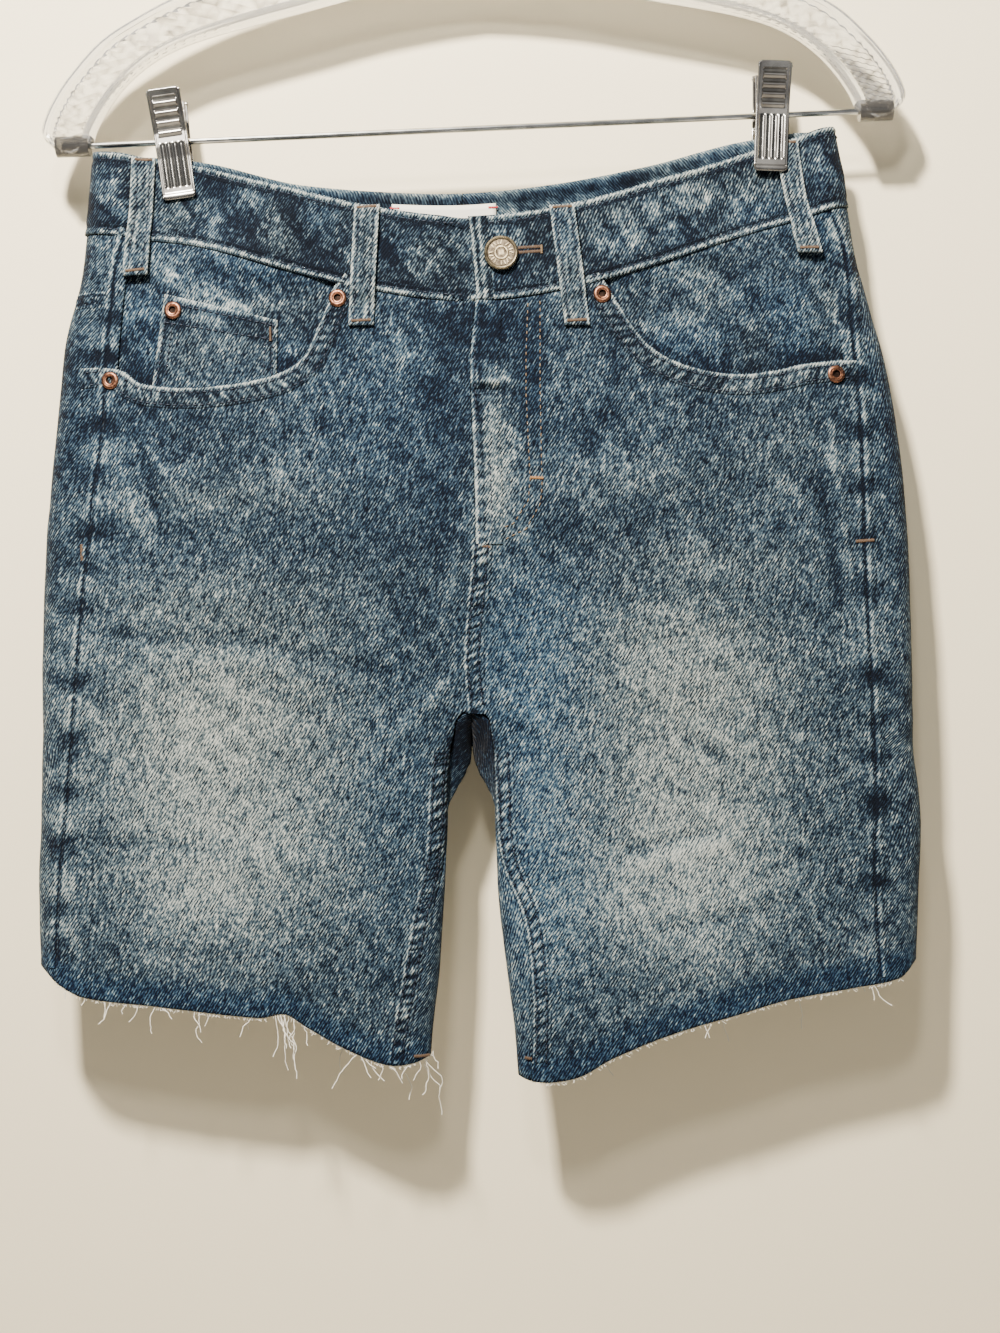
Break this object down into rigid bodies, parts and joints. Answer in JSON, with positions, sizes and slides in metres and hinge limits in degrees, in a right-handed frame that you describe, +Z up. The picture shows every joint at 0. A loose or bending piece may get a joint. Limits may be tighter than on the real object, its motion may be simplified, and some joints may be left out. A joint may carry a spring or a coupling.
{
  "type": "denim shorts on a clip hanger",
  "caption": "Cut-off denim shorts in a faded blue stone wash with frayed raw hems, clipped at the waistband to a clear plastic hanger with a steel rod and hook.",
  "frame": {"origin": "inner top of the hanger's hook, where it hangs on a rail", "axes": "+Z up, +X to the right as seen from the front, +Y from the viewer toward the wall"},
  "size_m": [0.4409, 0.0456, 0.668],
  "materials": {
    "denim": "washed twill, faded on the thighs",
    "white_tape": "plain woven tape",
    "bright_steel": "bright plated steel",
    "clear_plastic": "clear moulded plastic with prism facets",
    "worn_brass": "worn, silvery on the high spots",
    "worn_copper": "worn copper"
  },
  "bodies": {
    "root": {"back_left": "denim", "back_pocket_left": "denim", "back_pocket_right": "denim", "back_right": "denim", "button": "worn_brass", "clip_left_front_jaw": "bright_steel", "clip_left_rear_jaw": "bright_steel", "clip_left_spring": "bright_steel", "clip_right_front_jaw": "bright_steel", "clip_right_rear_jaw": "bright_steel", "clip_right_spring": "bright_steel", "coin_pocket": "denim", "facing_left": "denim", "facing_right": "denim", "fly": "denim", "front_left": "denim", "front_right": "denim", "hanger_arch": "clear_plastic", "hook": "bright_steel", "loop_back": "denim", "loop_front_left": "denim", "loop_front_right": "denim", "loop_side_left": "denim", "loop_side_right": "denim", "lug_left": "clear_plastic", "lug_right": "clear_plastic", "rivet_coin": "worn_copper", "rivet_pocket_left_inner": "worn_copper", "rivet_pocket_left_outer": "worn_copper", "rivet_pocket_right_inner": "worn_copper", "rivet_pocket_right_outer": "worn_copper", "rod": "bright_steel", "size_label": "white_tape", "waistband_left": "denim", "waistband_right": "denim", "yoke_left": "denim", "yoke_right": "denim"}
  },
  "joints": []
}
